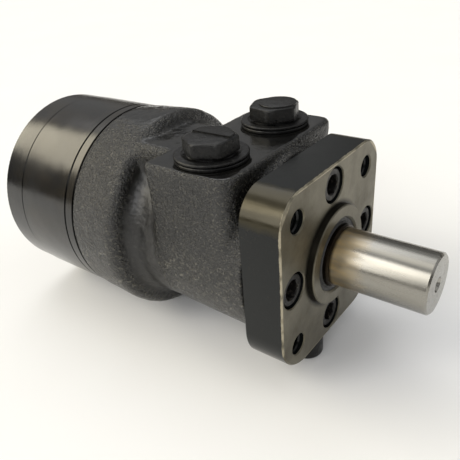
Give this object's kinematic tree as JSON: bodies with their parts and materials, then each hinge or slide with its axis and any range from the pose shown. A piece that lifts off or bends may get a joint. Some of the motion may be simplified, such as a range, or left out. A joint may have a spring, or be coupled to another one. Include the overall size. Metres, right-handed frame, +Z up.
{
  "type": "hydraulic motor",
  "caption": "Orbital gerotor hydraulic motor with square bolted flange, round output shaft, ports on top and a splined drive from an orbiting star to the shaft.",
  "frame": {"origin": "centre of the mounting face on the shaft axis", "axes": "+X along the output shaft towards its free end, +Z up through the oil ports, +Y across the motor"},
  "size_m": [0.2124, 0.102, 0.1058],
  "materials": {
    "black_cast_paint": "black paint over sand-cast iron",
    "black_machined_paint": "glossy black paint over machined steel",
    "machined_face": "machined steel face with black painted sides",
    "polished_shaft": "ground steel",
    "bearing_steel": "ground steel",
    "black_oxide": "black oxide",
    "gear_steel": "ground steel",
    "black_plastic": "matt moulded plastic",
    "seal_rubber": "nitrile rubber",
    "seal_plastic": "filled sealing plastic"
  },
  "bodies": {
    "motor_body": {"mounting_flange": "machined_face", "housing": "black_cast_paint", "spacer_plate": "black_machined_paint", "gerotor_ring": "black_machined_paint", "end_cap": "black_machined_paint", "flange_screws": "black_oxide", "end_cap_screws": "black_oxide", "dust_seal": "seal_rubber", "shaft_seal": "seal_rubber", "seal_backup_washer": "seal_plastic", "flange_seal": "seal_rubber", "housing_seal": "seal_rubber", "ring_front_seal": "seal_rubber", "ring_back_seal": "seal_rubber", "bearing_race": "bearing_steel", "drain_plug": "black_plastic"},
    "shaft": {"output_shaft": "polished_shaft"},
    "thrust_bearing": {"thrust_bearing_cage": "bearing_steel", "thrust_bearing_rollers": "bearing_steel"},
    "orbit_disc": {"drive_spacer": "gear_steel"},
    "star": {"gerotor_star": "gear_steel"},
    "drive": {"main_drive": "gear_steel"},
    "left_plug": {"port_plug_left": "black_plastic", "port_seal_left": "seal_rubber"},
    "right_plug": {"port_plug_right": "black_plastic", "port_seal_right": "seal_rubber"}
  },
  "joints": [
    {"name": "shaft_turn", "type": "hinge", "parent": "motor_body", "child": "shaft", "pos_m": [0, 0, 0], "axis": [1, 0, 0], "continuous": true},
    {"name": "bearing_turn", "type": "hinge", "parent": "motor_body", "child": "thrust_bearing", "pos_m": [0, 0, 0], "axis": [1, 0, 0], "continuous": true},
    {"name": "star_orbit", "type": "hinge", "parent": "motor_body", "child": "orbit_disc", "pos_m": [-0.151, 0, 0], "axis": [1, 0, 0], "continuous": true},
    {"name": "star_turn", "type": "hinge", "parent": "orbit_disc", "child": "star", "pos_m": [-0.1355, 0, -0.0034], "axis": [1, 0, 0], "continuous": true},
    {"name": "drive_turn", "type": "hinge", "parent": "orbit_disc", "child": "drive", "pos_m": [-0.062, 0, 0], "axis": [0.9989, 0, 0.0459], "continuous": true},
    {"name": "left_plug_lift", "type": "slide", "parent": "motor_body", "child": "left_plug", "axis": [0, 0, 1], "range_m": [0, 0.03]},
    {"name": "right_plug_lift", "type": "slide", "parent": "motor_body", "child": "right_plug", "axis": [0, 0, 1], "range_m": [0, 0.03]}
  ],
  "couplings": [
    {"joint": "bearing_turn", "follows": "shaft_turn", "ratio": 0.5},
    {"joint": "star_orbit", "follows": "shaft_turn", "ratio": -6},
    {"joint": "star_turn", "follows": "shaft_turn", "ratio": 7},
    {"joint": "drive_turn", "follows": "shaft_turn", "ratio": 7}
  ]
}
